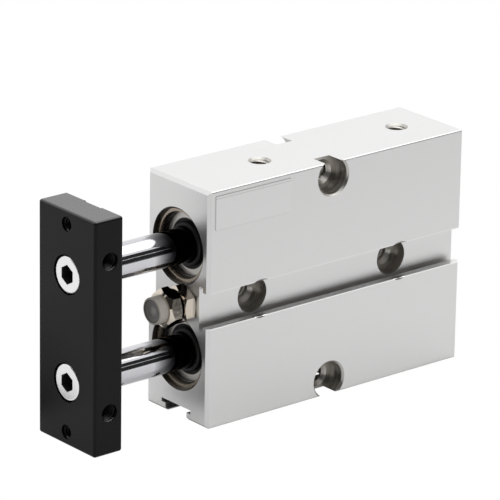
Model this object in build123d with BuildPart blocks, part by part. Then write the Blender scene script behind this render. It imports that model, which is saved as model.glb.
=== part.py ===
from build123d import *
import math
import os

os.makedirs("parts", exist_ok=True)

# Body. The origin is the centre of the four mounting holes, on the body's mid-plane.
body_length = 74.8
body_depth = 21.6
body_height = 55.5
mount_x = 35.65          # rod-end face to the centre of the mounting holes
front = -mount_x
rear = front + body_length
end_chamfer = 0.75
long_edge_round = 0.35

# Twin bores and rods
rod_pitch = 25.0
rod_d = 8.0
bore_d = 16.0
gland_d = 17.0           # widened bore for the guide and the rear cap
mouth_chamfer = 0.4
gland_length = 19.0
cap_pocket = 6.5
rod_z = (rod_pitch / 2, -rod_pitch / 2)

# T grooves for sensors, on both wide faces and along the bottom
groove_open = 8.2
groove_inner = 10.5
groove_lip = 1.8
groove_depth = 3.15
slot_open = 7.5
slot_inner = 10.3
slot_lip = 1.9
slot_depth = 2.8
slot_y = 0.1
groove_corner = 0.35
lip_round = 0.2

# Mounting holes through the body along Y, tapped in the middle, counterbored from both wide faces
mount_pair_x = 41.0      # the two in the grooves
edge_hole_in = 3.5       # narrow face to the middle of the hole beside it
mount_pair_z = body_height - 2 * edge_hole_in
mount_tap_d = 4.2
counterbore_d = 8.3
counterbore_chamfer = 0.4
groove_cb_depth = 6.6
edge_cb_depth = 4.4
tap_chamfer = 0.85

# Air ports on the top narrow face
port_x = (front + 23.1, front + 63.7)
port_tap_d = 4.2
port_chamfer = 0.5
passage_d = 2.5          # joins the two bores under each port

# Retaining rings in the two ends
ring_depth = 1.0         # end face to the groove
ring_groove = 1.0
ring_thick = 0.95
ring_groove_d = 18.1
ring_outer_d = 18.0
ring_inner_d = 15.4
ring_gap_half = 10.0     # half of the opening, degrees
ring_gap_down = 26.0     # the opening's middle below +Y, degrees
lug_r = 1.35
lug_hole_r = 0.55

# End plate
plate_gap = 23.1         # plate back to the body's end face, rods out
plate_thick = 7.7
plate_depth = 20.1
plate_height = 54.4
plate_round = 0.6
plate_back = front - plate_gap
plate_front = plate_back - plate_thick
plate_groove_w = 6.2
plate_groove_d = 0.8
face_hole_in = 3.1       # end of the plate to the middle of the hole
face_hole_pitch = plate_height - 2 * face_hole_in
face_hole_d = 3.4
side_hole_pitch = 35.0
side_hole_in = 3.6       # plate back to the middle of the hole
side_hole_d = 4.2
side_hole_depth = 5.0

# M5 socket screws that hold the rods to the plate
screw_sink = 0.15
screw_head_d = 8.5
screw_head_h = 5.0
screw_cb_d = 9.1
screw_shank_d = 4.9
screw_hole_d = 5.2
screw_length = 12.0
socket_af = 4.0
socket_depth = 2.6
rod_tap_d = 5.0
rod_tap_depth = 12.0
tongue_clear = 0.05

# Rod guide
run_clear = 0.03         # radial, rod in guide and seal
seat_clear = 0.02        # radial, guide and cap in the body
guide_set_back = ring_depth + ring_groove
nose_d = 12.0
nose_length = 5.4
face_recess_d = 14.6     # ring-shaped recess in the guide's face, round the seal
face_recess = 1.0
seal_d = 10.2
seal_depth = 3.4
oring_groove_from = 8.0
oring_groove_w = 2.0
oring_section = 1.7
washer_thick = 1.0
washer_outer_d = 12.4
washer_inner_d = 8.4

# Piston
stop_gap = 0.05
piston_length = 18.0
piston_d = 15.7
ring_run_d = 15.9        # seal and wear ring
rod_entry = 3.0
spigot_d = 5.0
spigot_clear = 0.02
seal_groove_x = 3.5
seal_groove_w = 2.2
seal_groove_d = 11.8
magnet_groove_x = 7.5
magnet_groove_w = 4.6
magnet_groove_d = 11.0
magnet_d = 15.2
wear_groove_x = 13.8
wear_groove_w = 2.4
wear_groove_d = 14.0
fill_play = 0.05         # each side of a ring in its groove
wear_slit = 0.8
nut_af = 8.0
nut_thick = 2.7

# Stopper bolt between the rods
stopper_y = -2.6
stopper_thread_d = 5.0
stopper_clear = 0.05
lock_nut_thick = 3.0
lock_nut_face_d = 7.7
stopper_head_h = 3.4
stopper_head_face_d = 7.2
stopper_head_lean = 11.0 # its top corner towards +Y, degrees
stopper_head_gap = 0.6   # head to lock nut
stopper_in_body = 8.7
stopper_hole_depth = 10.0
bumper_d = 6.2
bumper_h = 2.35
bumper_stem_d = 3.1
bumper_stem_h = 1.9
dimple_d = 5.3
dimple_depth = 0.65


def disc(x0, x1, r_out, r_in=0.0, mode=Mode.ADD, at=((0.0, 0.0),)):
    """Round disc or tube along X, from x0 to x1, at each (y, z)."""
    with BuildSketch(Plane.YZ.offset(x0)) as profile:
        with Locations(*at):
            Circle(r_out)
            if r_in:
                Circle(r_in, mode=Mode.SUBTRACT)
    extrude(profile.sketch, amount=x1 - x0, mode=mode)


def hexagon(x0, x1, across_flats, mode=Mode.ADD, y=0.0, lean=0.0):
    """Hexagonal prism along X. Its top corner points up, or leans towards +Y by some degrees."""
    with BuildSketch(Plane.YZ.offset(x0)) as profile:
        with Locations((y, 0)):
            RegularPolygon(across_flats / 2, 6, major_radius=False, rotation=30 - lean)
    extrude(profile.sketch, amount=x1 - x0, mode=mode)


def trim_hex_corners(x0, x1, across_flats, face_d, front_angle=30.0, y=0.0):
    """Cone the corners of a hexagon at both faces, down to a round face. The rear cone has 30 degrees."""
    reach = across_flats / math.sqrt(3) + 0.3
    front_run, rear_run = [(reach - face_d / 2) * math.tan(math.radians(a)) for a in (front_angle, 30.0)]
    with BuildSketch(Plane.XZ.offset(-y)) as profile:
        with BuildLine():
            Polyline((x0, 0), (x0, face_d / 2), (x0 + front_run, reach), (x1 - rear_run, reach),
                     (x1, face_d / 2), (x1, 0), close=True)
        make_face()
    revolve(profile.sketch, axis=Axis((0, y, 0), (1, 0, 0)), mode=Mode.INTERSECT)


def save(part, name):
    part.label = name
    export_step(part, "parts/" + name + ".step")


def save_pair(part, name):
    """The same turned piece on the upper and on the lower rod axis."""
    for side, z in zip(("upper", "lower"), rod_z):
        save(part.moved(Location((0, 0, z))), side + "_" + name)


# Body
mouth_at = [(0.0, z) for z in rod_z]
with BuildPart() as blank:
    with BuildSketch(Plane.YZ.offset(front)):
        Rectangle(body_depth, body_height)
    extrude(amount=body_length)
    end_faces = blank.faces().sort_by(Axis.X)
    chamfer(end_faces[0].edges() + end_faces[-1].edges(), end_chamfer)
    fillet(blank.edges().filter_by(Axis.X), long_edge_round)


def near(value, *marks):
    return any(abs(abs(value) - mark) < 0.01 for mark in marks)


with BuildPart() as body:
    with BuildSketch(Plane.YZ.offset(front)) as profile:
        Rectangle(body_depth, body_height)
        for side in (1, -1):
            with Locations((side * (body_depth / 2 - groove_lip / 2), 0)):
                Rectangle(groove_lip, groove_open, mode=Mode.SUBTRACT)
            with Locations((side * (body_depth / 2 - (groove_lip + groove_depth) / 2), 0)):
                Rectangle(groove_depth - groove_lip, groove_inner, mode=Mode.SUBTRACT)
        with Locations((slot_y, -body_height / 2 + slot_lip / 2)):
            Rectangle(slot_open, slot_lip, mode=Mode.SUBTRACT)
        with Locations((slot_y, -body_height / 2 + (slot_lip + slot_depth) / 2)):
            Rectangle(slot_inner, slot_depth - slot_lip, mode=Mode.SUBTRACT)
        floor_corners = profile.vertices().filter_by(
            lambda v: near(v.Z, groove_inner / 2) or near(v.Y - slot_y, slot_inner / 2))
        mouth_corners = profile.vertices().filter_by(
            lambda v: near(v.Y, body_depth / 2) and near(v.Z, groove_open / 2)
            or near(v.Z, body_height / 2) and near(v.Y - slot_y, slot_open / 2))
        fillet(floor_corners, groove_corner)
        fillet(mouth_corners, lip_round)
    extrude(amount=body_length)
    add(blank.part, mode=Mode.INTERSECT)

    disc(front, rear, bore_d / 2, mode=Mode.SUBTRACT, at=mouth_at)
    disc(front, front + gland_length, gland_d / 2, mode=Mode.SUBTRACT, at=mouth_at)
    disc(rear - cap_pocket, rear, gland_d / 2, mode=Mode.SUBTRACT, at=mouth_at)
    for end, inward in ((front, 1), (rear, -1)):
        with BuildSketch(Plane.YZ.offset(end)):
            with Locations(*mouth_at):
                Circle(gland_d / 2 + mouth_chamfer)
        extrude(amount=inward * mouth_chamfer, taper=45, mode=Mode.SUBTRACT)
    for ring_front in (front + ring_depth, rear - ring_depth - ring_groove):
        disc(ring_front, ring_front + ring_groove, ring_groove_d / 2, mode=Mode.SUBTRACT, at=mouth_at)

    # mounting holes
    groove_pair = [(-mount_pair_x / 2, 0), (mount_pair_x / 2, 0)]
    edge_pair = [(0, -mount_pair_z / 2), (0, mount_pair_z / 2)]
    with BuildSketch(Plane.XZ):
        with Locations(*groove_pair, *edge_pair):
            Circle(mount_tap_d / 2)
    extrude(amount=body_depth, both=True, mode=Mode.SUBTRACT)
    for pair, depth in ((groove_pair, groove_cb_depth), (edge_pair, edge_cb_depth)):
        for side in (1, -1):
            face = Plane.XZ.offset(side * body_depth / 2)
            with BuildSketch(face):
                with Locations(*pair):
                    Circle(counterbore_d / 2)
            extrude(amount=-side * depth, mode=Mode.SUBTRACT)
            with BuildSketch(face):
                with Locations(*pair):
                    Circle(counterbore_d / 2 + counterbore_chamfer)
            extrude(amount=-side * counterbore_chamfer, taper=45, mode=Mode.SUBTRACT)
            with BuildSketch(face.offset(-side * depth)):
                with Locations(*pair):
                    Circle(mount_tap_d / 2 + tap_chamfer)
            extrude(amount=-side * tap_chamfer, taper=45, mode=Mode.SUBTRACT)

    # air ports and the passages between the bores
    with BuildSketch(Plane.XY.offset(body_height / 2)):
        with Locations(*[(x, 0) for x in port_x]):
            Circle(port_tap_d / 2)
    extrude(amount=-(body_height - rod_pitch) / 2, mode=Mode.SUBTRACT)
    with BuildSketch(Plane.XY.offset(body_height / 2)):
        with Locations(*[(x, 0) for x in port_x]):
            Circle(port_tap_d / 2 + port_chamfer)
    extrude(amount=-port_chamfer, taper=45, mode=Mode.SUBTRACT)
    with BuildSketch(Plane.XY.offset(-rod_pitch / 2)):
        with Locations(*[(x, 0) for x in port_x]):
            Circle(passage_d / 2)
    extrude(amount=rod_pitch, mode=Mode.SUBTRACT)

    disc(front, front + stopper_hole_depth, stopper_thread_d / 2 + stopper_clear, mode=Mode.SUBTRACT,
         at=((stopper_y, 0),))
save(body.part, "body")

# End plate
screw_seat = plate_front + screw_sink + screw_head_h
with BuildPart() as plate:
    with BuildSketch(Plane.YZ.offset(plate_front)):
        Rectangle(plate_depth, plate_height)
    extrude(amount=plate_thick)
    fillet(plate.edges(), plate_round)
    disc(plate_front, plate_back, screw_hole_d / 2, mode=Mode.SUBTRACT, at=mouth_at)
    disc(plate_front, screw_seat, screw_cb_d / 2, mode=Mode.SUBTRACT, at=mouth_at)
    disc(plate_front, plate_back, face_hole_d / 2, mode=Mode.SUBTRACT,
         at=((0, face_hole_pitch / 2), (0, -face_hole_pitch / 2)))
    with BuildSketch(Plane.YZ.offset(plate_back)):
        Rectangle(plate_groove_w, plate_height)
    extrude(amount=-plate_groove_d, mode=Mode.SUBTRACT)
    for side in (1, -1):
        with BuildSketch(Plane.XZ.offset(side * plate_depth / 2)):
            with Locations((plate_back - side_hole_in, side_hole_pitch / 2),
                           (plate_back - side_hole_in, -side_hole_pitch / 2)):
                Circle(side_hole_d / 2)
        extrude(amount=-side * side_hole_depth, mode=Mode.SUBTRACT)
save(plate.part, "end_plate")

# Plate screws, one solid for each rod
with BuildPart() as screw:
    disc(screw_seat - screw_head_h, screw_seat, screw_head_d / 2)
    fillet(screw.edges().filter_by(GeomType.CIRCLE).sort_by(Axis.X)[0], 0.45)
    disc(screw_seat, screw_seat + screw_length, screw_shank_d / 2)
    chamfer(screw.edges().filter_by(GeomType.CIRCLE).sort_by(Axis.X)[-1], 0.6)
    head_top = screw_seat - screw_head_h
    hexagon(head_top, head_top + socket_depth, socket_af, mode=Mode.SUBTRACT)
save(Compound(children=[screw.part.moved(Location((0, 0, z))) for z in rod_z]), "plate_screws")

# Piston rods
piston_front = front + gland_length + nose_length + washer_thick + stop_gap
piston_rear = piston_front + piston_length
rod_end = plate_back - plate_groove_d
with BuildPart() as rod:
    disc(rod_end, piston_front + rod_entry, rod_d / 2)
    for side in (1, -1):
        with BuildSketch(Plane.YZ.offset(rod_end)):
            with Locations((side * (plate_groove_w / 2 - tongue_clear + rod_d / 2), 0)):
                Rectangle(rod_d, rod_d * 2)
        extrude(amount=plate_groove_d, mode=Mode.SUBTRACT)
    disc(piston_front + rod_entry, piston_rear + nut_thick + 0.6, spigot_d / 2)
    chamfer(rod.edges().filter_by(GeomType.CIRCLE).sort_by(Axis.X)[-1], 0.5)
    disc(rod_end, rod_end + rod_tap_depth, rod_tap_d / 2, mode=Mode.SUBTRACT)
save_pair(rod.part, "piston_rod")

# Rod guides, seals and soft stop washers
guide_front = front + guide_set_back
shoulder = front + gland_length
oring_x = guide_front + oring_groove_from + oring_groove_w / 2
oring_r = gland_d / 2 - seat_clear - oring_section / 2
with BuildPart() as guide:
    disc(guide_front, shoulder, gland_d / 2 - seat_clear)
    chamfer(guide.edges().filter_by(GeomType.CIRCLE).sort_by(Axis.X)[0], 0.35)
    disc(shoulder, shoulder + nose_length, nose_d / 2)
    disc(guide_front, shoulder + nose_length, rod_d / 2 + run_clear, mode=Mode.SUBTRACT)
    disc(guide_front, guide_front + seal_depth, seal_d / 2, mode=Mode.SUBTRACT)
    disc(guide_front, guide_front + face_recess, face_recess_d / 2, mode=Mode.SUBTRACT)
    disc(guide_front + oring_groove_from, guide_front + oring_groove_from + oring_groove_w, gland_d / 2,
         gland_d / 2 - seat_clear - oring_section, mode=Mode.SUBTRACT)
save_pair(guide.part, "rod_guide")


def o_ring(x):
    """O-ring whose round section has eight flats, pressed flat where it seals."""
    with BuildPart() as ring:
        with BuildSketch(Plane.XZ):
            with Locations((x, oring_r)):
                RegularPolygon(oring_section / 2, 8, major_radius=False, rotation=22.5)
        revolve(axis=Axis.X)
    return ring.part


save_pair(o_ring(oring_x), "guide_o_ring")

with BuildPart() as rod_seal:
    disc(guide_front, guide_front + seal_depth, seal_d / 2 - seat_clear, rod_d / 2 + run_clear)
    chamfer(rod_seal.edges().filter_by(GeomType.CIRCLE).sort_by(Axis.X)[:2], 0.25)
save_pair(rod_seal.part, "rod_seal")

nose_end = shoulder + nose_length
with BuildPart() as stop_washer:
    disc(nose_end, nose_end + washer_thick, washer_outer_d / 2, washer_inner_d / 2)
save_pair(stop_washer.part, "stop_washer")


def retaining_ring(x0):
    """Internal ring with two eyed ends, open towards +Y."""
    middle_r = (ring_outer_d + ring_inner_d) / 4
    eye_at = ring_gap_half + math.degrees(lug_r / middle_r)
    eye_r = ring_outer_d / 2 - lug_r - 0.5
    eyes = [(eye_r * math.cos(math.radians(a)), -eye_r * math.sin(math.radians(a)))
            for a in (ring_gap_down + eye_at, ring_gap_down - eye_at)]
    with BuildPart() as ring:
        with BuildSketch(Plane.YZ.offset(x0)):
            Circle(ring_outer_d / 2)
            Circle(ring_inner_d / 2, mode=Mode.SUBTRACT)
            with Locations(*eyes):
                Circle(lug_r)
            with BuildLine():
                reach = ring_outer_d
                ends = [(reach * math.cos(math.radians(a)), -reach * math.sin(math.radians(a)))
                        for a in (ring_gap_down + ring_gap_half, ring_gap_down - ring_gap_half)]
                Polyline((0, 0), ends[0], ends[1], close=True)
            make_face(mode=Mode.SUBTRACT)
            with Locations(*eyes):
                Circle(lug_hole_r, mode=Mode.SUBTRACT)
        extrude(amount=ring_thick)
    return ring.part


save_pair(retaining_ring(front + ring_depth), "front_retaining_ring")
save_pair(retaining_ring(rear - ring_depth - ring_thick), "rear_retaining_ring")

# Rear caps
cap_front = rear - cap_pocket
cap_rear = rear - ring_depth - ring_groove
cap_oring_x = (cap_front + cap_rear) / 2
with BuildPart() as cap:
    disc(cap_front, cap_rear, gland_d / 2 - seat_clear)
    chamfer(cap.edges().filter_by(GeomType.CIRCLE), 0.3)
    disc(cap_oring_x - oring_groove_w / 2, cap_oring_x + oring_groove_w / 2, gland_d / 2,
         gland_d / 2 - seat_clear - oring_section, mode=Mode.SUBTRACT)
    disc(cap_rear - 0.8, cap_rear, nose_d / 2 - 1.0, mode=Mode.SUBTRACT)
save_pair(cap.part, "rear_cap")

save_pair(o_ring(cap_oring_x), "cap_o_ring")

# Pistons and what they carry
with BuildPart() as piston:
    disc(piston_front, piston_rear, piston_d / 2)
    chamfer(piston.edges().filter_by(GeomType.CIRCLE), 0.4)
    disc(piston_front, piston_front + rod_entry, rod_d / 2 + spigot_clear, mode=Mode.SUBTRACT)
    disc(piston_front, piston_rear, spigot_d / 2 + spigot_clear, mode=Mode.SUBTRACT)
    for start, width, floor_d in ((seal_groove_x, seal_groove_w, seal_groove_d),
                                  (magnet_groove_x, magnet_groove_w, magnet_groove_d),
                                  (wear_groove_x, wear_groove_w, wear_groove_d)):
        disc(piston_front + start, piston_front + start + width, bore_d / 2, floor_d / 2, mode=Mode.SUBTRACT)
save_pair(piston.part, "piston")


def groove_ring(start, width, floor_d, outer_d):
    with BuildPart() as ring:
        disc(piston_front + start + fill_play, piston_front + start + width - fill_play, outer_d / 2,
             floor_d / 2 + spigot_clear)
    return ring


save_pair(groove_ring(seal_groove_x, seal_groove_w, seal_groove_d, ring_run_d).part, "piston_seal")
save_pair(groove_ring(magnet_groove_x, magnet_groove_w, magnet_groove_d, magnet_d).part, "magnet_ring")
wear_ring = groove_ring(wear_groove_x, wear_groove_w, wear_groove_d, ring_run_d)
with wear_ring:
    with BuildSketch(Plane.YZ.offset(piston_front + wear_groove_x)) as slit:
        with Locations((0, -bore_d / 2)):
            Rectangle(wear_slit, bore_d / 2)
    extrude(slit.sketch, amount=wear_groove_w, mode=Mode.SUBTRACT)
save_pair(wear_ring.part, "wear_ring")

with BuildPart() as piston_nut:
    hexagon(piston_rear, piston_rear + nut_thick, nut_af)
    disc(piston_rear, piston_rear + nut_thick, spigot_d / 2 + spigot_clear, mode=Mode.SUBTRACT)
save_pair(piston_nut.part, "piston_nut")

# Stopper bolt, its bumper and its lock nut
stopper_at = ((stopper_y, 0),)
nut_front = front - lock_nut_thick
head_rear = nut_front - stopper_head_gap
head_front = head_rear - stopper_head_h
with BuildPart() as stopper_bolt:
    hexagon(head_front, head_rear, nut_af, y=stopper_y, lean=stopper_head_lean)
    trim_hex_corners(head_front, head_rear, nut_af, stopper_head_face_d, front_angle=45.0, y=stopper_y)
    disc(head_rear, front + stopper_in_body, stopper_thread_d / 2, at=stopper_at)
    chamfer(stopper_bolt.edges().filter_by(GeomType.CIRCLE).sort_by(Axis.X)[-1], 0.5)
    disc(head_front, head_front + bumper_stem_h + stopper_clear, bumper_stem_d / 2 + stopper_clear,
         mode=Mode.SUBTRACT, at=stopper_at)
save(stopper_bolt.part, "stopper_bolt")

bumper_front = head_front - bumper_h
ball_r = ((dimple_d / 2) ** 2 + dimple_depth ** 2) / (2 * dimple_depth)
ball_x = bumper_front + dimple_depth - ball_r
with BuildPart() as bumper:
    with BuildSketch(Plane.XZ.offset(-stopper_y)):
        with BuildLine():
            half = dimple_d / 4
            ThreePointArc((ball_x + ball_r, 0), (ball_x + math.sqrt(ball_r ** 2 - half ** 2), half),
                          (bumper_front, dimple_d / 2))
            Polyline((bumper_front, dimple_d / 2), (bumper_front, bumper_d / 2), (head_front, bumper_d / 2),
                     (head_front, bumper_stem_d / 2), (head_front + bumper_stem_h, bumper_stem_d / 2),
                     (head_front + bumper_stem_h, 0), (ball_x + ball_r, 0))
        make_face()
    revolve(axis=Axis((0, stopper_y, 0), (1, 0, 0)))
    rim = bumper.edges().filter_by(GeomType.CIRCLE).filter_by(lambda e: abs(e.radius - bumper_d / 2) < 0.01)
    fillet(rim.sort_by(Axis.X)[0], 0.3)
save(bumper.part, "bumper")

with BuildPart() as lock_nut:
    hexagon(nut_front, front, nut_af, y=stopper_y)
    trim_hex_corners(nut_front, front, nut_af, lock_nut_face_d, y=stopper_y)
    disc(nut_front, front, stopper_thread_d / 2 + stopper_clear, mode=Mode.SUBTRACT, at=stopper_at)
save(lock_nut.part, "lock_nut")
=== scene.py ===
import math

import bmesh
import bpy
from mathutils import Matrix, Vector


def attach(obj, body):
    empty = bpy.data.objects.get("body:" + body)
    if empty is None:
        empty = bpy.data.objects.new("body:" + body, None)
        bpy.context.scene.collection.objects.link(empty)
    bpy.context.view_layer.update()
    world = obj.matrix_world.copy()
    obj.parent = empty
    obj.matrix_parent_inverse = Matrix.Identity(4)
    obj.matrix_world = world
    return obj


MM = 0.001

# Sizes of the part that the dressing lines up with, in millimetres
BODY_FRONT = -35.65
BODY_HALF_DEPTH = 10.8
BODY_TOP = 27.75
ROD_LEVELS = {"upper": 12.5, "lower": -12.5}
MOUNT_PAIR_X = 20.5
EDGE_HOLE_Z = 24.25
PORT_X = (-12.55, 28.05)
STOPPER_Y = -2.6
PLATE_FRONT = -66.45
PLATE_BACK = -58.75
PLATE_HALF_DEPTH = 10.05
SIDE_HOLE_X = PLATE_BACK - 3.6
SIDE_HOLE_Z = 17.5
FACE_HOLE_Z = 24.1
SCREW_TOP = PLATE_FRONT + 0.15
GROOVE_HALF = 4.2

# Reach of the bare metal inside the body's machined holes, of the painted shade in its bores and notches,
# and of the painted highlight on the groove's edges, in millimetres
GROOVE_HOLE_RADIUS = 4.2
GROOVE_HOLE_REACH = 7.6
MOUTH_RADIUS = 4.57
NOTCH_START = 10.2
EDGE_HOLE_REACH = 27.72
PORT_RADIUS = 2.62
PORT_START = 20.0
BORE_RADIUS = 8.92
LIP_START = 10.56
LIP_HALF_WIDTH = 0.13

# Tapped holes: radius at the thread's root and at its crest, and pitch, in millimetres
M5_THREAD = (2.12, 1.82, 0.8)
M4_THREAD = (1.72, 1.47, 0.7)
THREAD_STEPS = 20
THREAD_FOOT = 0.43
THREAD_TOP = 0.08
GROOVE_WEB_HALF = 3.1
EDGE_WEB_HALF = 5.3
SLOT_ROOF_Z = -24.9
PORT_THREAD_START = 0.55
PORT_THREAD_LENGTH = 6.2
PLATE_THREAD_START = 0.4
SIDE_THREAD_LENGTH = 4.2
FACE_THREAD_LENGTH = 6.1

# Blank film on the near wide face, in millimetres
LABEL_X = (-34.0, -12.3)
LABEL_Z = (18.6, 26.7)
LABEL_CORNER = 0.5
LABEL_SUNK = 0.02
LABEL_PROUD = 0.08
LABEL_EDGE_DROP = 0.03
LABEL_EDGE_INSET = 0.04
CORNER_STEPS = 4

# The photograph's camera, in millimetres and picture pixels
CAMERA_AT = (-590.057, -688.272, 328.17)
CAMERA_RIGHT = (0.76954, -0.63839, 0.0165)
CAMERA_UP = (0.20503, 0.27145, 0.94036)
CAMERA_FORWARD = (0.60479, 0.72026, -0.33977)
PICTURE_SIZE = 500.0
FOCAL_PIXELS = 4256.797
PICTURE_CENTRE = (259.351, 262.641)
SENSOR_WIDTH = 36.0
CLIP_START = 0.01
CLIP_END = 50

# The studio, in metres
FLOOR_Z = -BODY_TOP * MM
FLOOR_HALF = 4
CARD_Z = FLOOR_Z + 0.2 * MM
FRONT_CARD_X = (-1.0, 2.5)
FRONT_CARD_Y = -1.0
WORLD_FILL = 0.55
FLOOR_MIRROR_SHARE = 0.3

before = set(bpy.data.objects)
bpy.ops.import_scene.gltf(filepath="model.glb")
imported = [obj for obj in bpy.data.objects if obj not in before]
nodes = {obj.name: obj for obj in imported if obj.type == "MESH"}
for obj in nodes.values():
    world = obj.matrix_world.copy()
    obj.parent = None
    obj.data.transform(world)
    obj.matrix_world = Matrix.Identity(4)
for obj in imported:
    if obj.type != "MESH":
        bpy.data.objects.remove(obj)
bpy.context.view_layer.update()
scene = bpy.context.scene


class Sheet:
    """A node tree with short ways to add nodes and join sockets."""

    def __init__(self, tree):
        self.tree = tree

    def add(self, kind, **settings):
        node = self.tree.nodes.new(kind)
        for name, value in settings.items():
            setattr(node, name, value)
        return node

    def join(self, source, target):
        self.tree.links.new(source, target)

    def feed(self, socket, value):
        """Joins another node's socket, or sets a plain value."""
        if isinstance(value, bpy.types.NodeSocket):
            self.join(value, socket)
        elif value is not None:
            plain = hasattr(value, "__len__") and len(value) == 4 and socket.type == "VECTOR"
            socket.default_value = value[:3] if plain else value

    def math(self, operation, a, b=None, clamp=False):
        node = self.add("ShaderNodeMath", operation=operation, use_clamp=clamp)
        self.feed(node.inputs[0], a)
        self.feed(node.inputs[1], b)
        return node.outputs[0]

    def distance(self, a, b):
        """Length of the slanting side over two square ones."""
        squares = [self.math("MULTIPLY", side, side) for side in (a, b)]
        return self.math("SQRT", self.math("ADD", squares[0], squares[1]))

    def place(self):
        """Place on the piece, in metres."""
        return self.add("ShaderNodeTexCoord").outputs["Object"]

    def split(self, vector):
        parts = self.add("ShaderNodeSeparateXYZ")
        self.join(vector, parts.inputs["Vector"])
        return [parts.outputs[axis] for axis in "XYZ"]

    def noise(self, vector, scale, detail, roughness=0.5):
        node = self.add("ShaderNodeTexNoise")
        self.feed(node.inputs["Vector"], vector)
        self.feed(node.inputs["Scale"], scale)
        self.feed(node.inputs["Detail"], detail)
        self.feed(node.inputs["Roughness"], roughness)
        return node.outputs["Fac"]

    def stretch(self, vector, scale):
        node = self.add("ShaderNodeMapping")
        self.feed(node.inputs["Vector"], vector)
        node.inputs["Scale"].default_value = scale
        return node.outputs["Vector"]

    def spread(self, value, low, high, to_low, to_high):
        """Carries a range over to another one, and holds it at both ends."""
        node = self.add("ShaderNodeMapRange")
        self.feed(node.inputs["Value"], value)
        limits = {"From Min": low, "From Max": high, "To Min": to_low, "To Max": to_high}
        for name, setting in limits.items():
            self.feed(node.inputs[name], setting)
        return node.outputs["Result"]

    def shade(self, colour, factor):
        """Colour times a factor that varies over the surface."""
        node = self.add("ShaderNodeVectorMath", operation="SCALE")
        self.feed(node.inputs[0], colour)
        self.feed(node.inputs["Scale"], factor)
        return node.outputs["Vector"]

    def mix(self, factor, a, b):
        """Colour a where the factor is zero, colour b where it is one."""
        node = self.add("ShaderNodeMix", data_type="RGBA")
        self.feed(node.inputs["Factor"], factor)
        self.feed(node.inputs[6], a)
        self.feed(node.inputs[7], b)
        return node.outputs[2]


def effect_group(name, inputs, outputs):
    """A shader node group with named sockets. Returns its tree, sheet, input node and output node."""
    tree = bpy.data.node_groups.new(name, "ShaderNodeTree")
    kinds = {"value": "NodeSocketFloat", "colour": "NodeSocketColor"}
    for label, kind, default in inputs:
        socket = tree.interface.new_socket(name=label, in_out="INPUT", socket_type=kinds[kind])
        socket.default_value = default
    for label, kind in outputs:
        tree.interface.new_socket(name=label, in_out="OUTPUT", socket_type=kinds[kind])
    sheet = Sheet(tree)
    return tree, sheet, sheet.add("NodeGroupInput"), sheet.add("NodeGroupOutput")


def place_group(sheet, tree, **values):
    node = sheet.add("ShaderNodeGroup", node_tree=tree)
    for label, value in values.items():
        sheet.feed(node.inputs[label.replace("_", " ")], value)
    return node


def make_fine_grain():
    """Very fine cloudy grain of an anodised, plated or moulded skin."""
    tree, s, given, out = effect_group(
        "fine_grain",
        [("Colour", "colour", (0.8, 0.8, 0.8, 1)), ("Roughness", "value", 0.4),
         ("Grain scale", "value", 4000.0), ("Grain depth", "value", 0.04), ("Cloud depth", "value", 0.03)],
        [("Colour", "colour"), ("Roughness", "value"), ("Height", "value")])
    cloud_scale = 90.0
    rough_share = 1.5
    place = s.place()
    grain = s.noise(place, given.outputs["Grain scale"], 2.0, 0.6)
    cloud = s.noise(place, cloud_scale, 3.0, 0.5)
    grain_swing = s.math("MULTIPLY", s.math("SUBTRACT", grain, 0.5), given.outputs["Grain depth"])
    cloud_swing = s.math("MULTIPLY", s.math("SUBTRACT", cloud, 0.5), given.outputs["Cloud depth"])
    swing = s.math("ADD", grain_swing, cloud_swing)
    s.join(s.shade(given.outputs["Colour"], s.math("ADD", swing, 1.0)), out.inputs["Colour"])
    s.join(s.math("ADD", given.outputs["Roughness"], s.math("MULTIPLY", swing, rough_share), clamp=True),
           out.inputs["Roughness"])
    s.join(grain, out.inputs["Height"])
    return tree


def make_recess_shade():
    """Paints shade into the depths of holes, grooves and gaps, darker the more they are shut in."""
    tree, s, given, out = effect_group(
        "painted_recess_shade",
        [("Colour", "colour", (0.8, 0.8, 0.8, 1)), ("Dirt colour", "colour", (0.03, 0.028, 0.025, 1)),
         ("Reach", "value", 2.0 * MM), ("Amount", "value", 0.6)],
        [("Colour", "colour")])
    open_enough, fully_shut = 0.55, 0.05
    hollow = s.add("ShaderNodeAmbientOcclusion", samples=6)
    s.join(given.outputs["Reach"], hollow.inputs["Distance"])
    shut = s.spread(hollow.outputs["AO"], open_enough, fully_shut, 0.0, 1.0)
    mask = s.math("MULTIPLY", shut, given.outputs["Amount"], clamp=True)
    s.join(s.mix(mask, given.outputs["Colour"], given.outputs["Dirt colour"]), out.inputs["Colour"])
    return tree


def make_turned_lines():
    """Fine rings that a lathe leaves, round an axis along X through a given point."""
    tree, s, given, out = effect_group(
        "turned_lines",
        [("Centre Y", "value", 0.0), ("Centre Z", "value", 0.0), ("Line scale", "value", 6000.0)],
        [("Lines", "value"), ("Radius", "value")])
    x, y, z = s.split(s.place())
    radius = s.distance(s.math("SUBTRACT", y, given.outputs["Centre Y"]),
                        s.math("SUBTRACT", z, given.outputs["Centre Z"]))
    along = s.add("ShaderNodeCombineXYZ")
    s.join(radius, along.inputs["X"])
    s.join(s.math("MULTIPLY", x, 0.8), along.inputs["Y"])
    s.join(s.noise(along.outputs["Vector"], given.outputs["Line scale"], 1.0), out.inputs["Lines"])
    s.join(radius, out.inputs["Radius"])
    return tree


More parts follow.
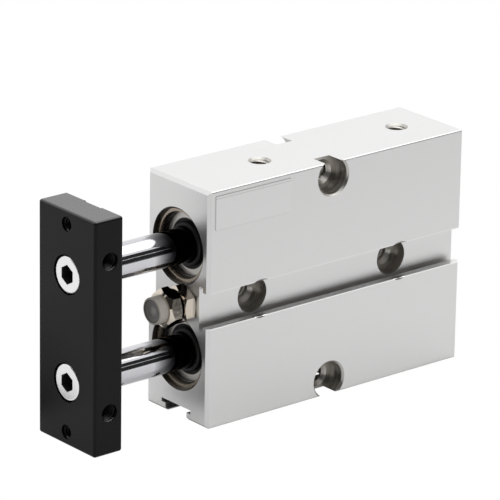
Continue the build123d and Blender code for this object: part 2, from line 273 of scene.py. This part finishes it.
def make_hole_masks():
    """Masks of the bare metal inside the body's holes and bores, and lines that run round each hole.

    Mask is one in every hole and bore, Bore in the two cylinder bores alone, Notch where the holes cut the
    groove's lower lip, and Lip edge on the rounded edges of the groove. The body's finish paints Bore and
    Notch dark as painted shade, and Lip edge near white as a painted highlight.
    """
    tree, s, given, out = effect_group(
        "machined_holes",
        [("Line scale", "value", 5000.0)],
        [("Mask", "value"), ("Lines", "value"), ("Bore", "value"), ("Notch", "value"),
         ("Lip edge", "value")])
    x, y, z = s.split(s.place())

    def mirrored(value, middle, half):
        return s.math("SUBTRACT", s.math("ABSOLUTE", s.math("SUBTRACT", value, middle * MM)), half * MM)

    def inside(value, limit):
        return s.math("LESS_THAN", value, limit * MM)

    def beyond(value, limit):
        return s.math("GREATER_THAN", value, limit * MM)

    depth = s.math("ABSOLUTE", y)
    groove_r = s.distance(mirrored(x, 0.0, MOUNT_PAIR_X), z)
    edge_r = s.distance(x, mirrored(z, 0.0, EDGE_HOLE_Z))
    port_r = s.distance(mirrored(x, sum(PORT_X) / 2, (PORT_X[1] - PORT_X[0]) / 2), y)
    bore_r = s.distance(y, mirrored(z, 0.0, ROD_LEVELS["upper"]))
    deep = s.math("MULTIPLY", inside(groove_r, GROOVE_HOLE_RADIUS), inside(depth, GROOVE_HOLE_REACH))
    mouth = s.math("MULTIPLY", inside(groove_r, MOUTH_RADIUS), beyond(depth, NOTCH_START))
    edge = s.math("MULTIPLY", inside(edge_r, MOUTH_RADIUS), inside(s.math("ABSOLUTE", z), EDGE_HOLE_REACH))
    port = s.math("MULTIPLY", inside(port_r, PORT_RADIUS), beyond(z, PORT_START))
    mask = s.math("MAXIMUM", s.math("MAXIMUM", deep, mouth), s.math("MAXIMUM", edge, port))
    bore = inside(bore_r, BORE_RADIUS)
    s.join(s.math("MAXIMUM", mask, bore), out.inputs["Mask"])
    s.join(bore, out.inputs["Bore"])
    # Notch: where the holes cut the lower lip, painted dark in the body's finish as painted shade.
    s.join(s.math("MULTIPLY", mouth, inside(z, 0.0)), out.inputs["Notch"])

    # Painted highlight along the groove's rounded edges, fainter on the upper one.
    upper_share = 0.4
    upper_lip = inside(s.math("ABSOLUTE", s.math("SUBTRACT", z, GROOVE_HALF * MM)), LIP_HALF_WIDTH)
    lower_lip = inside(s.math("ABSOLUTE", s.math("ADD", z, GROOVE_HALF * MM)), LIP_HALF_WIDTH)
    lip_highlight = s.math("ADD", lower_lip, s.math("MULTIPLY", upper_lip, upper_share))
    s.join(s.math("MULTIPLY", lip_highlight, beyond(depth, LIP_START)), out.inputs["Lip edge"])

    along = s.add("ShaderNodeCombineXYZ")
    s.join(y, along.inputs["Y"])
    s.join(s.noise(along.outputs["Vector"], given.outputs["Line scale"], 1.0), out.inputs["Lines"])
    return tree


FINE_GRAIN = make_fine_grain()
RECESS_SHADE = make_recess_shade()
TURNED_LINES = make_turned_lines()
MACHINED_HOLES = make_hole_masks()


def new_finish(name, **settings):
    """A material with its Principled shader, whose plain values are set on its own sockets."""
    material = bpy.data.materials.new(name)
    material.use_nodes = True
    sheet = Sheet(material.node_tree)
    shader = material.node_tree.nodes["Principled BSDF"]
    for label, value in settings.items():
        shader.inputs[label.replace("_", " ")].default_value = value
    return material, sheet, shader


def bump(sheet, shader, height, distance):
    node = sheet.add("ShaderNodeBump")
    node.inputs["Distance"].default_value = distance
    sheet.join(height, node.inputs["Height"])
    sheet.join(node.outputs["Normal"], shader.inputs["Normal"])


def grained(sheet, shader, grain, relief, colour=None):
    """Joins a grain group to its shader, with its own colour or another one that is given."""
    sheet.join(grain.outputs["Colour"] if colour is None else colour, shader.inputs["Base Color"])
    sheet.join(grain.outputs["Roughness"], shader.inputs["Roughness"])
    bump(sheet, shader, grain.outputs["Height"], relief)


def grey(level, warm=0.0):
    return (level * (1 + warm), level, level * (1 - warm), 1)


def silver_anodised():
    """Blasted and anodised extrusion, with bare cut metal in its holes, painted shade in its grooves,
    holes, bores and notches, and a painted highlight on the groove's edges.
    """
    cut_colour, bore_shade_colour = (0.56, 0.54, 0.51, 1), (0.045, 0.04, 0.036, 1)
    notch_shade_colour, lip_highlight_colour = (0.05, 0.045, 0.04, 1), (0.98, 0.98, 0.97, 1)
    material, s, shader = new_finish("silver_anodised")
    grain = place_group(s, FINE_GRAIN, Colour=grey(0.81, 0.003), Roughness=0.37, Grain_scale=3000.0,
                        Grain_depth=0.05, Cloud_depth=0.02)
    holes = place_group(s, MACHINED_HOLES, Line_scale=1500.0)
    mask, lines, lip_highlight = (holes.outputs[name] for name in ("Mask", "Lines", "Lip edge"))
    # The cylinder bores are painted near black as painted shade.
    bared = s.mix(holes.outputs["Bore"], cut_colour, bore_shade_colour)
    cut_metal = s.shade(bared, s.spread(lines, 0.3, 0.7, 0.75, 1.15))
    # Where the holes cut the groove's lower lip, the skin is painted dark as painted shade.
    skin = s.mix(holes.outputs["Notch"], s.mix(mask, grain.outputs["Colour"], cut_metal), notch_shade_colour)
    # Painted highlight: the groove's rounded edges are painted near white, with a lower roughness.
    skin = s.mix(lip_highlight, skin, lip_highlight_colour)
    # Painted shade in the grooves, holes and bores, reaching further inside the holes.
    reach = s.spread(mask, 0.0, 1.0, 2.4 * MM, 5.0 * MM)
    amount = s.spread(mask, 0.0, 1.0, 0.72, 0.62)
    painted_shade = place_group(s, RECESS_SHADE, Colour=skin, Dirt_colour=(0.09, 0.065, 0.02, 1), Reach=reach,
                       Amount=amount)
    s.join(painted_shade.outputs["Colour"], shader.inputs["Base Color"])
    s.join(s.spread(mask, 0.0, 1.0, 0.93, 1.0), shader.inputs["Metallic"])
    cut_rough = s.spread(lines, 0.3, 0.7, 0.27, 0.36)
    rough = s.spread(mask, 0.0, 1.0, grain.outputs["Roughness"], cut_rough)
    s.join(s.spread(lip_highlight, 0.0, 1.0, rough, 0.16), shader.inputs["Roughness"])
    relief = s.math("ADD", s.math("MULTIPLY", grain.outputs["Height"], 0.4),
                    s.math("MULTIPLY", lines, mask))
    bump(s, shader, relief, 0.02 * MM)
    return material


def black_anodised():
    """Black anodised plate, whose upward faces have a brighter sheen."""
    material, s, shader = new_finish("black_anodised", Metallic=0.0, IOR=1.28, Sheen_Weight=1.0,
                                     Sheen_Roughness=0.12, Coat_Roughness=0.25, Coat_IOR=1.65)
    grain = place_group(s, FINE_GRAIN, Colour=grey(0.003), Roughness=0.42, Grain_scale=2500.0,
                        Grain_depth=0.15, Cloud_depth=0.10)
    upward = s.split(s.add("ShaderNodeNewGeometry").outputs["Normal"])[2]
    s.join(s.spread(upward, 0.2, 0.9, 0.0, 1.0), shader.inputs["Coat Weight"])
    grained(s, shader, grain, 0.012 * MM)
    return material


def hard_chrome():
    """Ground and plated rod, painted near black next to the body as a painted dark reflection."""
    shade_starts, shade_full = (BODY_FRONT - 9.5) * MM, (BODY_FRONT - 4.0) * MM
    painted_shade_colour, chrome_colour = (0.010, 0.010, 0.012, 1), (0.66, 0.66, 0.69, 1)
    material, s, shader = new_finish("hard_chrome", Metallic=1.0)
    place = s.place()
    lines = s.noise(s.stretch(place, (1.0, 0.05, 0.05)), 9000.0, 1.0)
    smears = s.noise(s.stretch(place, (0.3, 1.0, 1.0)), 260.0, 3.0)
    s.join(s.math("ADD", s.spread(lines, 0.3, 0.7, 0.035, 0.07), s.spread(smears, 0.4, 0.8, 0.0, 0.03)),
           shader.inputs["Roughness"])
    bump(s, shader, lines, 0.0006 * MM)
    # Painted dark reflection: the rod goes near black as it nears the body.
    share = s.spread(s.split(place)[0], shade_starts, shade_full, 1.0, 0.0)
    s.join(s.mix(s.math("MULTIPLY", share, share), painted_shade_colour, chrome_colour), shader.inputs["Base Color"])
    return material


def bright_zinc():
    """Bright zinc, with the socket of each plate screw painted near black as painted shade, and painted
    shade in its recesses.
    """
    socket_radius, socket_shade_colour = 2.36 * MM, (0.008, 0.008, 0.008, 1)
    material, s, shader = new_finish("bright_zinc")
    grain = place_group(s, FINE_GRAIN, Colour=grey(0.99), Roughness=0.22, Grain_scale=1800.0,
                        Grain_depth=0.08, Cloud_depth=0.04)
    x, y, z = s.split(s.place())
    radius = s.distance(y, s.math("SUBTRACT", s.math("ABSOLUTE", z), ROD_LEVELS["upper"] * MM))
    socket = s.math("MULTIPLY", s.math("LESS_THAN", radius, socket_radius),
                    s.math("GREATER_THAN", x, (SCREW_TOP + 0.1) * MM))
    # Painted shade in the screws' recesses.
    painted_shade = place_group(s, RECESS_SHADE, Colour=grain.outputs["Colour"],
                       Dirt_colour=(0.004, 0.004, 0.004, 1), Reach=1.2 * MM, Amount=0.8)
    # The socket is painted near black as painted shade.
    s.join(s.mix(socket, painted_shade.outputs["Colour"], socket_shade_colour), shader.inputs["Base Color"])
    s.join(s.spread(socket, 0.0, 1.0, 0.8, 0.0), shader.inputs["Metallic"])
    s.join(s.spread(socket, 0.0, 1.0, grain.outputs["Roughness"], 0.6), shader.inputs["Roughness"])
    bump(s, shader, grain.outputs["Height"], 0.004 * MM)
    return material


def turned_metal(name, colour, roughness, level):
    """A turned metal piece on a rod's axis, with painted shade next to the rod, a painted shadow on its
    outer rim and painted shade in its recesses.
    """
    painted_shade_colour, rim_shade_colour = (0.012, 0.012, 0.012, 1), (0.02, 0.018, 0.016, 1)
    material, s, shader = new_finish(name, Metallic=0.9)
    rings = place_group(s, TURNED_LINES, Centre_Y=0.0, Centre_Z=level * MM, Line_scale=7000.0)
    lines, radius = rings.outputs["Lines"], rings.outputs["Radius"]
    tint = s.spread(lines, 0.3, 0.7, 0.90, 1.10)
    # Painted shade next to the rod, and a painted shadow on the outer rim of the face.
    clear_of_shade = s.spread(radius, 5.75 * MM, 5.95 * MM, 0.0, 1.0)
    painted_rim = s.spread(radius, 7.15 * MM, 7.3 * MM, 0.0, 0.95)
    face = s.mix(clear_of_shade, painted_shade_colour, s.mix(painted_rim, s.shade(colour, tint), rim_shade_colour))
    # Painted shade in the piece's recesses.
    painted_shade = place_group(s, RECESS_SHADE, Colour=face, Dirt_colour=(0.02, 0.017, 0.014, 1), Reach=1.8 * MM,
                       Amount=0.9)
    s.join(painted_shade.outputs["Colour"], shader.inputs["Base Color"])
    s.join(s.spread(lines, 0.3, 0.7, roughness - 0.05, roughness + 0.05), shader.inputs["Roughness"])
    bump(s, shader, lines, 0.004 * MM)
    return material


def rubber(name, colour, roughness):
    material, s, shader = new_finish(name, Metallic=0.0, IOR=1.45)
    grain = place_group(s, FINE_GRAIN, Colour=colour, Roughness=roughness, Grain_scale=1500.0,
                        Grain_depth=0.12, Cloud_depth=0.12)
    grained(s, shader, grain, 0.01 * MM)
    return material


def bumper_rubber():
    """Grey moulded rubber, with painted light on the rim, a painted shadow line inside it and a painted
    highlight in the middle.
    """
    centre_highlight, middle = (0.46, 0.44, 0.42, 1), (0.22, 0.21, 0.205, 1)
    shadow_line, painted_rim = (0.09, 0.083, 0.078, 1), (0.46, 0.425, 0.38, 1)
    material, s, shader = new_finish("bumper_rubber", Metallic=0.0, IOR=1.45)
    rings = place_group(s, TURNED_LINES, Centre_Y=STOPPER_Y * MM, Centre_Z=0.0, Line_scale=900.0)
    radius = rings.outputs["Radius"]
    # Painted highlight in the middle, painted shadow line inside the rim, and painted light on the rim.
    face = s.mix(s.spread(radius, 0.4 * MM, 1.4 * MM, 0.0, 1.0), centre_highlight, middle)
    face = s.mix(s.spread(radius, 2.25 * MM, 2.45 * MM, 0.0, 1.0), face, shadow_line)
    face = s.mix(s.spread(radius, 2.58 * MM, 2.68 * MM, 0.0, 1.0), face, painted_rim)
    grain = place_group(s, FINE_GRAIN, Colour=face, Roughness=0.5, Grain_scale=1500.0,
                        Grain_depth=0.12, Cloud_depth=0.12)
    grained(s, shader, grain, 0.01 * MM)
    return material


def label_film():
    """Thin blank silver film with fine darker lines along its upper, left and lower edges."""
    line_colour = (0.16, 0.155, 0.15, 1)
    material, s, shader = new_finish("label_film", Metallic=0.85)
    grain = place_group(s, FINE_GRAIN, Colour=grey(0.85, 0.002), Roughness=0.40, Grain_scale=2600.0,
                        Grain_depth=0.04, Cloud_depth=0.03)
    x, y, z = s.split(s.place())

    def edge_line(value, at, half_width, depth):
        away = s.math("ABSOLUTE", s.math("SUBTRACT", value, at * MM))
        return s.spread(away, half_width * 0.6 * MM, half_width * MM, depth, 0.0)

    top = edge_line(z, LABEL_Z[1] - 0.12, 0.14, 0.5)
    second = edge_line(z, LABEL_Z[1] - 0.75, 0.10, 0.3)
    left = edge_line(x, LABEL_X[0] + 0.12, 0.14, 0.5)
    low = edge_line(z, LABEL_Z[0] + 0.08, 0.10, 0.15)
    lines = s.math("MAXIMUM", s.math("MAXIMUM", top, second), s.math("MAXIMUM", left, low))
    grained(s, shader, grain, 0.006 * MM, s.mix(lines, grain.outputs["Colour"], line_colour))
    return material


def spring_steel():
    material, s, shader = new_finish("spring_steel", Metallic=0.85)
    grain = place_group(s, FINE_GRAIN, Colour=(0.36, 0.305, 0.25, 1), Roughness=0.28, Grain_scale=1600.0,
                        Grain_depth=0.15, Cloud_depth=0.3)
    grained(s, shader, grain, 0.006 * MM)
    return material


def nickel(name, colour, roughness):
    material, s, shader = new_finish(name, Metallic=1.0)
    grain = place_group(s, FINE_GRAIN, Colour=colour, Roughness=roughness, Grain_scale=1400.0,
                        Grain_depth=0.08, Cloud_depth=0.12)
    # Painted shade in the piece's recesses.
    painted_shade = place_group(s, RECESS_SHADE, Colour=grain.outputs["Colour"],
                       Dirt_colour=(0.02, 0.016, 0.012, 1), Reach=2.0 * MM, Amount=1.0)
    grained(s, shader, grain, 0.004 * MM, painted_shade.outputs["Colour"])
    return material


def coat(node_name, material):
    """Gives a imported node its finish."""
    mesh = nodes[node_name].data
    mesh.materials.clear()
    mesh.materials.append(material)


body_finish = silver_anodised()
plate_finish = black_anodised()
chrome = hard_chrome()
zinc = bright_zinc()
black_rubber = rubber("black_rubber", grey(0.012), 0.55)
bumper_finish = bumper_rubber()
film = label_film()
ring_steel = spring_steel()
nut_nickel = nickel("nut_nickel", (0.64, 0.575, 0.49, 1), 0.13)
stopper_nickel = nickel("stopper_nickel", (0.66, 0.60, 0.52, 1), 0.09)
washer_rubber = rubber("washer_rubber", (0.45, 0.42, 0.35, 1), 0.6)
magnet_finish = rubber("magnet", grey(0.08), 0.5)
wear_plastic = rubber("wear_plastic", (0.72, 0.68, 0.58, 1), 0.45)

coat("body", body_finish)
coat("end_plate", plate_finish)
coat("plate_screws", zinc)
coat("stopper_bolt", stopper_nickel)
coat("lock_nut", nut_nickel)
coat("bumper", bumper_finish)
for side, level in ROD_LEVELS.items():
    guide_metal = turned_metal(side + "_guide_metal", (0.62, 0.60, 0.57, 1), 0.36, level)
    piston_metal = turned_metal(side + "_piston_metal", (0.68, 0.68, 0.68, 1), 0.3, level)
    cap_metal = turned_metal(side + "_cap_metal", (0.66, 0.64, 0.61, 1), 0.33, level)
    coat(side + "_piston_rod", chrome)
    coat(side + "_rod_guide", guide_metal)
    coat(side + "_rear_cap", cap_metal)
    coat(side + "_piston", piston_metal)
    for ring in ("front_retaining_ring", "rear_retaining_ring"):
        coat(side + "_" + ring, ring_steel)
    for seal in ("guide_o_ring", "rod_seal", "cap_o_ring", "piston_seal"):
        coat(side + "_" + seal, black_rubber)
    coat(side + "_stop_washer", washer_rubber)
    coat(side + "_magnet_ring", magnet_finish)
    coat(side + "_wear_ring", wear_plastic)
    coat(side + "_piston_nut", nut_nickel)


def new_piece(name, mesh_work, material, body):
    """Turns finished bmesh work into a piece that rides on a body."""
    bmesh.ops.recalc_face_normals(mesh_work, faces=mesh_work.faces)
    mesh = bpy.data.meshes.new(name)
    mesh_work.to_mesh(mesh)
    mesh_work.free()
    mesh.materials.append(material)
    piece = bpy.data.objects.new(name, mesh)
    scene.collection.objects.link(piece)
    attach(piece, body)


def bridge(work, rings):
    """Faces between each ring of corners and the next, and over both ends."""
    count = len(rings[0])
    for one, other in zip(rings, rings[1:]):
        for i in range(count):
            j = (i + 1) % count
            work.faces.new((one[i], one[j], other[j], other[i]))
    work.faces.new(rings[0])
    work.faces.new(rings[-1])


def close_ridge(work, rows):
    """Makes one run of thread of its cross sections, if there are enough of them."""
    if len(rows) > 1:
        bridge(work, [[work.verts.new(point * MM) for point in row] for row in rows])


def add_thread(work, start, along, length, thread, keep=None):
    """Helical ridge on a tapped hole's wall. It grows out of the wall at both ends.

    keep, if given, says of a point on the wall whether the wall is there.
    """
    root, crest, pitch = thread
    start, axis = Vector(start), Vector(along)
    side = axis.orthogonal().normalized()
    across = axis.cross(side)
    count = int(length / pitch * THREAD_STEPS)
    rows = []
    for i in range(count + 1):
        angle = 2 * math.pi * i / THREAD_STEPS
        outward = side * math.cos(angle) + across * math.sin(angle)
        middle = start + axis * (pitch * i / THREAD_STEPS)
        if keep and not keep(middle + outward * root):
            close_ridge(work, rows)
            rows = []
            continue
        rise = min(1.0, 2.0 * i / THREAD_STEPS, 2.0 * (count - i) / THREAD_STEPS)
        top = root - (root - crest) * max(rise, 0.05)
        rows.append([middle + axis * (pitch * shift) + outward * radius for shift, radius in
                     ((-THREAD_FOOT, root), (-THREAD_TOP, top), (THREAD_TOP, top), (THREAD_FOOT, root))])
    close_ridge(work, rows)


def body_threads():
    work = bmesh.new()
    for x in (-MOUNT_PAIR_X, MOUNT_PAIR_X):
        add_thread(work, (x, -GROOVE_WEB_HALF, 0), (0, 1, 0), 2 * GROOVE_WEB_HALF, M5_THREAD)
    edge_length = 2 * EDGE_WEB_HALF
    add_thread(work, (0, -EDGE_WEB_HALF, EDGE_HOLE_Z), (0, 1, 0), edge_length, M5_THREAD)
    add_thread(work, (0, -EDGE_WEB_HALF, -EDGE_HOLE_Z), (0, 1, 0), edge_length, M5_THREAD,
               keep=lambda p: p.z > SLOT_ROOF_Z or abs(p.y) > EDGE_WEB_HALF)
    for x in PORT_X:
        add_thread(work, (x, 0, BODY_TOP - PORT_THREAD_START), (0, 0, -1), PORT_THREAD_LENGTH, M5_THREAD)
    new_piece("body_threads", work, body_finish, "barrel")


def plate_threads():
    work = bmesh.new()
    for z in (-SIDE_HOLE_Z, SIDE_HOLE_Z):
        for side in (-1, 1):
            start = (SIDE_HOLE_X, side * (PLATE_HALF_DEPTH - PLATE_THREAD_START), z)
            add_thread(work, start, (0, -side, 0), SIDE_THREAD_LENGTH, M5_THREAD)
    for z in (-FACE_HOLE_Z, FACE_HOLE_Z):
        start = (PLATE_FRONT + PLATE_THREAD_START, 0, z)
        add_thread(work, start, (1, 0, 0), FACE_THREAD_LENGTH, M4_THREAD)
    new_piece("plate_threads", work, plate_finish, "rod_assembly")


def label_piece():
    """Thin film on the body's wide face, with rounded corners and a soft upper edge."""
    work = bmesh.new()
    low, high = -BODY_HALF_DEPTH + LABEL_SUNK, -BODY_HALF_DEPTH - LABEL_PROUD
    corners = ((LABEL_X[1], LABEL_Z[1], 0), (LABEL_X[0], LABEL_Z[1], 90),
               (LABEL_X[0], LABEL_Z[0], 180), (LABEL_X[1], LABEL_Z[0], 270))
    rings = []
    for y, shrink in ((low, 0.0), (high + LABEL_EDGE_DROP, 0.0), (high, LABEL_EDGE_INSET)):
        reach = LABEL_CORNER - shrink
        ring = []
        for corner_x, corner_z, turn in corners:
            centre_x = corner_x + (-LABEL_CORNER if corner_x == LABEL_X[1] else LABEL_CORNER)
            centre_z = corner_z + (-LABEL_CORNER if corner_z == LABEL_Z[1] else LABEL_CORNER)
            for k in range(CORNER_STEPS + 1):
                angle = math.radians(turn + 90 / CORNER_STEPS * k)
                point = Vector((centre_x + reach * math.cos(angle), y, centre_z + reach * math.sin(angle)))
                ring.append(work.verts.new(point * MM))
        rings.append(ring)
    bridge(work, rings)
    new_piece("label_film", work, film, "barrel")


body_threads()
plate_threads()
label_piece()


def studio_world():
    """White to the camera and to mirrors, and a dimmer fill light to everything else."""
    world = bpy.data.worlds.new("studio")
    scene.world = world
    world.use_nodes = True
    s = Sheet(world.node_tree)
    world.node_tree.nodes.clear()
    rays = s.add("ShaderNodeLightPath")
    seen = s.math("MAXIMUM", rays.outputs["Is Camera Ray"],
                  s.math("MAXIMUM", rays.outputs["Is Glossy Ray"], rays.outputs["Is Transmission Ray"]))
    white = s.add("ShaderNodeBackground")
    white.inputs["Color"].default_value = (1, 1, 1, 1)
    fill = s.add("ShaderNodeBackground")
    fill.inputs["Color"].default_value = (1, 1, 1, 1)
    fill.inputs["Strength"].default_value = WORLD_FILL
    mixed = s.add("ShaderNodeMixShader")
    s.join(seen, mixed.inputs[0])
    s.join(fill.outputs[0], mixed.inputs[1])
    s.join(white.outputs[0], mixed.inputs[2])
    s.join(mixed.outputs[0], s.add("ShaderNodeOutputWorld").inputs["Surface"])


def softbox(name, at, aim, size, level):
    """A soft rectangular lamp whose face has the given brightness."""
    lamp = bpy.data.lights.new(name, "AREA")
    lamp.shape = "RECTANGLE"
    lamp.size, lamp.size_y = size
    lamp.energy = level * math.pi * size[0] * size[1]
    holder = bpy.data.objects.new(name, lamp)
    scene.collection.objects.link(holder)
    holder.location = at
    holder.rotation_euler = (Vector(aim) - Vector(at)).to_track_quat("-Z", "Y").to_euler()
    holder.visible_camera = False


def flat_piece(name, corners, material):
    """One rectangle of the studio, which belongs to no body."""
    mesh = bpy.data.meshes.new(name)
    mesh.from_pydata([Vector(c) for c in corners], [], [(0, 1, 2, 3)])
    mesh.materials.append(material)
    piece = bpy.data.objects.new(name, mesh)
    scene.collection.objects.link(piece)
    return piece


def floor_finish():
    """Pale floor, pure white where the camera looks at it and a little brighter in mirrors."""
    material, s, shader = new_finish("floor", Base_Color=(0.93, 0.93, 0.93, 1), Roughness=0.9)
    rays = s.add("ShaderNodeLightPath")
    glow = s.add("ShaderNodeEmission")
    mixed = s.add("ShaderNodeMixShader")
    mirrored = s.math("MULTIPLY", rays.outputs["Is Glossy Ray"], FLOOR_MIRROR_SHARE)
    s.join(s.math("MAXIMUM", rays.outputs["Is Camera Ray"], mirrored), mixed.inputs[0])
    s.join(shader.outputs[0], mixed.inputs[1])
    s.join(glow.outputs[0], mixed.inputs[2])
    s.join(mixed.outputs[0], material.node_tree.nodes["Material Output"].inputs["Surface"])
    return material


def dark_flag(name, corners):
    """A black studio card that only reflections see."""
    material = new_finish(name, Base_Color=(0.02, 0.02, 0.02, 1), Roughness=0.9)[0]
    card = flat_piece(name, corners, material)
    card.visible_camera = False
    card.visible_diffuse = False
    card.visible_shadow = False


def lying_flag(name, x, y):
    """Black card just over the floor, from and to along X and Y."""
    dark_flag(name, [(x[0], y[0], CARD_Z), (x[1], y[0], CARD_Z),
                     (x[1], y[1], CARD_Z), (x[0], y[1], CARD_Z)])


def front_flag(name, low, high):
    """Black card upright before the near wide face, between two heights."""
    left, right = FRONT_CARD_X
    dark_flag(name, [(left, FRONT_CARD_Y, low), (right, FRONT_CARD_Y, low),
                     (right, FRONT_CARD_Y, high), (left, FRONT_CARD_Y, high)])


studio_world()
softbox("softbox_top", at=(0.25, 0.0, 0.85), aim=(0.25, 0.0, 0.0), size=(1.3, 0.95), level=1.1)
flat_piece("floor", [(-FLOOR_HALF, -FLOOR_HALF, FLOOR_Z), (FLOOR_HALF, -FLOOR_HALF, FLOOR_Z),
                     (FLOOR_HALF, FLOOR_HALF, FLOOR_Z), (-FLOOR_HALF, FLOOR_HALF, FLOOR_Z)], floor_finish())
front_flag("front_flag_low", -0.02, 0.41)
lying_flag("slot_flag", (-0.035, 0.039), (-0.0036, 0.0038))
lying_flag("under_flag", (-0.062, -0.044), (-0.002, 0.014))
lying_flag("left_flag", (-0.085, -0.060), (0.020, 0.070))
lying_flag("front_flag_floor", (-0.4, 2.2), (-1.0, -0.36))
front_flag("front_flag_high", 0.45, 1.05)
dark_flag("end_flag_high", [(-0.8, -1.0, 0.02), (-0.8, 0.5, 0.02), (-0.8, 0.5, 1.3), (-0.8, -1.0, 1.3)])


def photo_camera():
    """The camera that was fitted to the photograph."""
    lens = bpy.data.cameras.new("photo_camera")
    camera = bpy.data.objects.new("photo_camera", lens)
    scene.collection.objects.link(camera)
    right, up, back = Vector(CAMERA_RIGHT), Vector(CAMERA_UP), -Vector(CAMERA_FORWARD)
    turn = Matrix((right, up, back)).transposed().to_4x4()
    camera.matrix_world = Matrix.Translation(Vector(CAMERA_AT) * MM) @ turn
    lens.sensor_width = SENSOR_WIDTH
    lens.lens = FOCAL_PIXELS / PICTURE_SIZE * SENSOR_WIDTH
    lens.shift_x = (PICTURE_SIZE / 2 - PICTURE_CENTRE[0]) / PICTURE_SIZE
    lens.shift_y = (PICTURE_CENTRE[1] - PICTURE_SIZE / 2) / PICTURE_SIZE
    lens.clip_start, lens.clip_end = CLIP_START, CLIP_END
    scene.camera = camera


photo_camera()
scene.view_settings.view_transform = "Standard"
